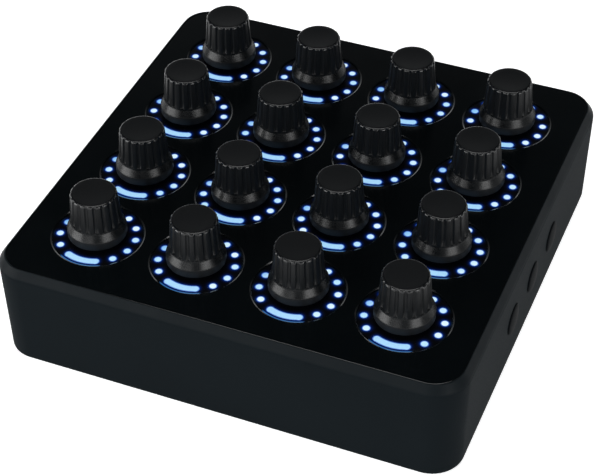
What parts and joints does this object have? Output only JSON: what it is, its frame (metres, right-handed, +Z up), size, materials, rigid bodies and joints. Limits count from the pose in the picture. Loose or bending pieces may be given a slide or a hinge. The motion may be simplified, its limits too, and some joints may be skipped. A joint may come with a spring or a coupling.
{
  "type": "midi controller",
  "caption": "Square desktop controller with a grid of endless push knobs, a ring of lit windows round each, push buttons in both side walls and a cable socket behind.",
  "frame": {"origin": "on the desk, under the middle of the case", "axes": "+Z up, +X to the player's right, -Y towards the player (the front wall)"},
  "size_m": [0.177, 0.1756, 0.0627],
  "materials": {
    "case_black": "satin black moulded plastic",
    "panel_gloss": "polished black",
    "brass": "turned",
    "light_guide": "lit from below, pale blue",
    "mask_black": "printed gloss black",
    "baffle_black": "moulded",
    "chip_white": "light chips",
    "encoder_metal": "zinc plated",
    "plated_steel": "zinc plated",
    "board_black": "solder resist over glass fibre",
    "chip_black": "moulded epoxy",
    "black_steel": "blackened steel",
    "foot_rubber": "soft matte",
    "socket_steel": "nickel plated sheet",
    "insulator_black": "moulded",
    "switch_black": "moulded",
    "lead_grey": "flat ribbon",
    "wheel_white": "moulded",
    "knob_black": "soft satin moulding",
    "button_black": "soft matte"
  },
  "bodies": {
    "case": {"case_shell": "case_black", "base_plate": "case_black", "faceplate": "panel_gloss", "faceplate_standoffs": "brass", "light_guides": "light_guide", "ring_masks": "mask_black", "light_baffles": "baffle_black", "ring_lights": "chip_white", "encoder_housings": "encoder_metal", "encoder_washers": "plated_steel", "encoder_nuts": "plated_steel", "main_board": "board_black", "control_chips": "chip_black", "board_screws": "black_steel", "case_screws": "black_steel", "rubber_feet": "foot_rubber", "socket_shell": "socket_steel", "socket_insulator": "insulator_black", "side_boards": "board_black", "side_switches": "switch_black", "side_board_screws": "plated_steel", "side_leads": "lead_grey"},
    "wheel_row1_col1": {"encoder_wheel_row1_col1": "wheel_white"},
    "knob_row1_col1": {"knob_row1_col1": "knob_black"},
    "wheel_row1_col2": {"encoder_wheel_row1_col2": "wheel_white"},
    "knob_row1_col2": {"knob_row1_col2": "knob_black"},
    "wheel_row1_col3": {"encoder_wheel_row1_col3": "wheel_white"},
    "knob_row1_col3": {"knob_row1_col3": "knob_black"},
    "wheel_row1_col4": {"encoder_wheel_row1_col4": "wheel_white"},
    "knob_row1_col4": {"knob_row1_col4": "knob_black"},
    "wheel_row2_col1": {"encoder_wheel_row2_col1": "wheel_white"},
    "knob_row2_col1": {"knob_row2_col1": "knob_black"},
    "wheel_row2_col2": {"encoder_wheel_row2_col2": "wheel_white"},
    "knob_row2_col2": {"knob_row2_col2": "knob_black"},
    "wheel_row2_col3": {"encoder_wheel_row2_col3": "wheel_white"},
    "knob_row2_col3": {"knob_row2_col3": "knob_black"},
    "wheel_row2_col4": {"encoder_wheel_row2_col4": "wheel_white"},
    "knob_row2_col4": {"knob_row2_col4": "knob_black"},
    "wheel_row3_col1": {"encoder_wheel_row3_col1": "wheel_white"},
    "knob_row3_col1": {"knob_row3_col1": "knob_black"},
    "wheel_row3_col2": {"encoder_wheel_row3_col2": "wheel_white"},
    "knob_row3_col2": {"knob_row3_col2": "knob_black"},
    "wheel_row3_col3": {"encoder_wheel_row3_col3": "wheel_white"},
    "knob_row3_col3": {"knob_row3_col3": "knob_black"},
    "wheel_row3_col4": {"encoder_wheel_row3_col4": "wheel_white"},
    "knob_row3_col4": {"knob_row3_col4": "knob_black"},
    "wheel_row4_col1": {"encoder_wheel_row4_col1": "wheel_white"},
    "knob_row4_col1": {"knob_row4_col1": "knob_black"},
    "wheel_row4_col2": {"encoder_wheel_row4_col2": "wheel_white"},
    "knob_row4_col2": {"knob_row4_col2": "knob_black"},
    "wheel_row4_col3": {"encoder_wheel_row4_col3": "wheel_white"},
    "knob_row4_col3": {"knob_row4_col3": "knob_black"},
    "wheel_row4_col4": {"encoder_wheel_row4_col4": "wheel_white"},
    "knob_row4_col4": {"knob_row4_col4": "knob_black"},
    "button_right_front": {"side_button_right_front": "button_black"},
    "button_right_middle": {"side_button_right_middle": "button_black"},
    "button_right_rear": {"side_button_right_rear": "button_black"},
    "button_left_front": {"side_button_left_front": "button_black"},
    "button_left_middle": {"side_button_left_middle": "button_black"},
    "button_left_rear": {"side_button_left_rear": "button_black"}
  },
  "joints": [
    {"name": "turn_row1_col1", "type": "hinge", "parent": "case", "child": "wheel_row1_col1", "pos_m": [-0.0582, 0.0582, 0.035], "axis": [0, 0, 1], "continuous": true},
    {"name": "press_row1_col1", "type": "slide", "parent": "wheel_row1_col1", "child": "knob_row1_col1", "axis": [0, 0, -1], "range_m": [0, 0.0005], "stiffness_N_per_m": 400, "springref_m": -0.0005},
    {"name": "turn_row1_col2", "type": "hinge", "parent": "case", "child": "wheel_row1_col2", "pos_m": [-0.0194, 0.0582, 0.035], "axis": [0, 0, 1], "continuous": true},
    {"name": "press_row1_col2", "type": "slide", "parent": "wheel_row1_col2", "child": "knob_row1_col2", "axis": [0, 0, -1], "range_m": [0, 0.0005], "stiffness_N_per_m": 400, "springref_m": -0.0005},
    {"name": "turn_row1_col3", "type": "hinge", "parent": "case", "child": "wheel_row1_col3", "pos_m": [0.0194, 0.0582, 0.035], "axis": [0, 0, 1], "continuous": true},
    {"name": "press_row1_col3", "type": "slide", "parent": "wheel_row1_col3", "child": "knob_row1_col3", "axis": [0, 0, -1], "range_m": [0, 0.0005], "stiffness_N_per_m": 400, "springref_m": -0.0005},
    {"name": "turn_row1_col4", "type": "hinge", "parent": "case", "child": "wheel_row1_col4", "pos_m": [0.0582, 0.0582, 0.035], "axis": [0, 0, 1], "continuous": true},
    {"name": "press_row1_col4", "type": "slide", "parent": "wheel_row1_col4", "child": "knob_row1_col4", "axis": [0, 0, -1], "range_m": [0, 0.0005], "stiffness_N_per_m": 400, "springref_m": -0.0005},
    {"name": "turn_row2_col1", "type": "hinge", "parent": "case", "child": "wheel_row2_col1", "pos_m": [-0.0582, 0.0194, 0.035], "axis": [0, 0, 1], "continuous": true},
    {"name": "press_row2_col1", "type": "slide", "parent": "wheel_row2_col1", "child": "knob_row2_col1", "axis": [0, 0, -1], "range_m": [0, 0.0005], "stiffness_N_per_m": 400, "springref_m": -0.0005},
    {"name": "turn_row2_col2", "type": "hinge", "parent": "case", "child": "wheel_row2_col2", "pos_m": [-0.0194, 0.0194, 0.035], "axis": [0, 0, 1], "continuous": true},
    {"name": "press_row2_col2", "type": "slide", "parent": "wheel_row2_col2", "child": "knob_row2_col2", "axis": [0, 0, -1], "range_m": [0, 0.0005], "stiffness_N_per_m": 400, "springref_m": -0.0005},
    {"name": "turn_row2_col3", "type": "hinge", "parent": "case", "child": "wheel_row2_col3", "pos_m": [0.0194, 0.0194, 0.035], "axis": [0, 0, 1], "continuous": true},
    {"name": "press_row2_col3", "type": "slide", "parent": "wheel_row2_col3", "child": "knob_row2_col3", "axis": [0, 0, -1], "range_m": [0, 0.0005], "stiffness_N_per_m": 400, "springref_m": -0.0005},
    {"name": "turn_row2_col4", "type": "hinge", "parent": "case", "child": "wheel_row2_col4", "pos_m": [0.0582, 0.0194, 0.035], "axis": [0, 0, 1], "continuous": true},
    {"name": "press_row2_col4", "type": "slide", "parent": "wheel_row2_col4", "child": "knob_row2_col4", "axis": [0, 0, -1], "range_m": [0, 0.0005], "stiffness_N_per_m": 400, "springref_m": -0.0005},
    {"name": "turn_row3_col1", "type": "hinge", "parent": "case", "child": "wheel_row3_col1", "pos_m": [-0.0582, -0.0194, 0.035], "axis": [0, 0, 1], "continuous": true},
    {"name": "press_row3_col1", "type": "slide", "parent": "wheel_row3_col1", "child": "knob_row3_col1", "axis": [0, 0, -1], "range_m": [0, 0.0005], "stiffness_N_per_m": 400, "springref_m": -0.0005},
    {"name": "turn_row3_col2", "type": "hinge", "parent": "case", "child": "wheel_row3_col2", "pos_m": [-0.0194, -0.0194, 0.035], "axis": [0, 0, 1], "continuous": true},
    {"name": "press_row3_col2", "type": "slide", "parent": "wheel_row3_col2", "child": "knob_row3_col2", "axis": [0, 0, -1], "range_m": [0, 0.0005], "stiffness_N_per_m": 400, "springref_m": -0.0005},
    {"name": "turn_row3_col3", "type": "hinge", "parent": "case", "child": "wheel_row3_col3", "pos_m": [0.0194, -0.0194, 0.035], "axis": [0, 0, 1], "continuous": true},
    {"name": "press_row3_col3", "type": "slide", "parent": "wheel_row3_col3", "child": "knob_row3_col3", "axis": [0, 0, -1], "range_m": [0, 0.0005], "stiffness_N_per_m": 400, "springref_m": -0.0005},
    {"name": "turn_row3_col4", "type": "hinge", "parent": "case", "child": "wheel_row3_col4", "pos_m": [0.0582, -0.0194, 0.035], "axis": [0, 0, 1], "continuous": true},
    {"name": "press_row3_col4", "type": "slide", "parent": "wheel_row3_col4", "child": "knob_row3_col4", "axis": [0, 0, -1], "range_m": [0, 0.0005], "stiffness_N_per_m": 400, "springref_m": -0.0005},
    {"name": "turn_row4_col1", "type": "hinge", "parent": "case", "child": "wheel_row4_col1", "pos_m": [-0.0582, -0.0582, 0.035], "axis": [0, 0, 1], "continuous": true},
    {"name": "press_row4_col1", "type": "slide", "parent": "wheel_row4_col1", "child": "knob_row4_col1", "axis": [0, 0, -1], "range_m": [0, 0.0005], "stiffness_N_per_m": 400, "springref_m": -0.0005},
    {"name": "turn_row4_col2", "type": "hinge", "parent": "case", "child": "wheel_row4_col2", "pos_m": [-0.0194, -0.0582, 0.035], "axis": [0, 0, 1], "continuous": true},
    {"name": "press_row4_col2", "type": "slide", "parent": "wheel_row4_col2", "child": "knob_row4_col2", "axis": [0, 0, -1], "range_m": [0, 0.0005], "stiffness_N_per_m": 400, "springref_m": -0.0005},
    {"name": "turn_row4_col3", "type": "hinge", "parent": "case", "child": "wheel_row4_col3", "pos_m": [0.0194, -0.0582, 0.035], "axis": [0, 0, 1], "continuous": true},
    {"name": "press_row4_col3", "type": "slide", "parent": "wheel_row4_col3", "child": "knob_row4_col3", "axis": [0, 0, -1], "range_m": [0, 0.0005], "stiffness_N_per_m": 400, "springref_m": -0.0005},
    {"name": "turn_row4_col4", "type": "hinge", "parent": "case", "child": "wheel_row4_col4", "pos_m": [0.0582, -0.0582, 0.035], "axis": [0, 0, 1], "continuous": true},
    {"name": "press_row4_col4", "type": "slide", "parent": "wheel_row4_col4", "child": "knob_row4_col4", "axis": [0, 0, -1], "range_m": [0, 0.0005], "stiffness_N_per_m": 400, "springref_m": -0.0005},
    {"name": "push_right_front", "type": "slide", "parent": "case", "child": "button_right_front", "axis": [-1, 0, 0], "range_m": [0, 0.0005], "stiffness_N_per_m": 300, "springref_m": -0.0003},
    {"name": "push_right_middle", "type": "slide", "parent": "case", "child": "button_right_middle", "axis": [-1, 0, 0], "range_m": [0, 0.0005], "stiffness_N_per_m": 300, "springref_m": -0.0003},
    {"name": "push_right_rear", "type": "slide", "parent": "case", "child": "button_right_rear", "axis": [-1, 0, 0], "range_m": [0, 0.0005], "stiffness_N_per_m": 300, "springref_m": -0.0003},
    {"name": "push_left_front", "type": "slide", "parent": "case", "child": "button_left_front", "axis": [1, 0, 0], "range_m": [0, 0.0005], "stiffness_N_per_m": 300, "springref_m": -0.0003},
    {"name": "push_left_middle", "type": "slide", "parent": "case", "child": "button_left_middle", "axis": [1, 0, 0], "range_m": [0, 0.0005], "stiffness_N_per_m": 300, "springref_m": -0.0003},
    {"name": "push_left_rear", "type": "slide", "parent": "case", "child": "button_left_rear", "axis": [1, 0, 0], "range_m": [0, 0.0005], "stiffness_N_per_m": 300, "springref_m": -0.0003}
  ]
}
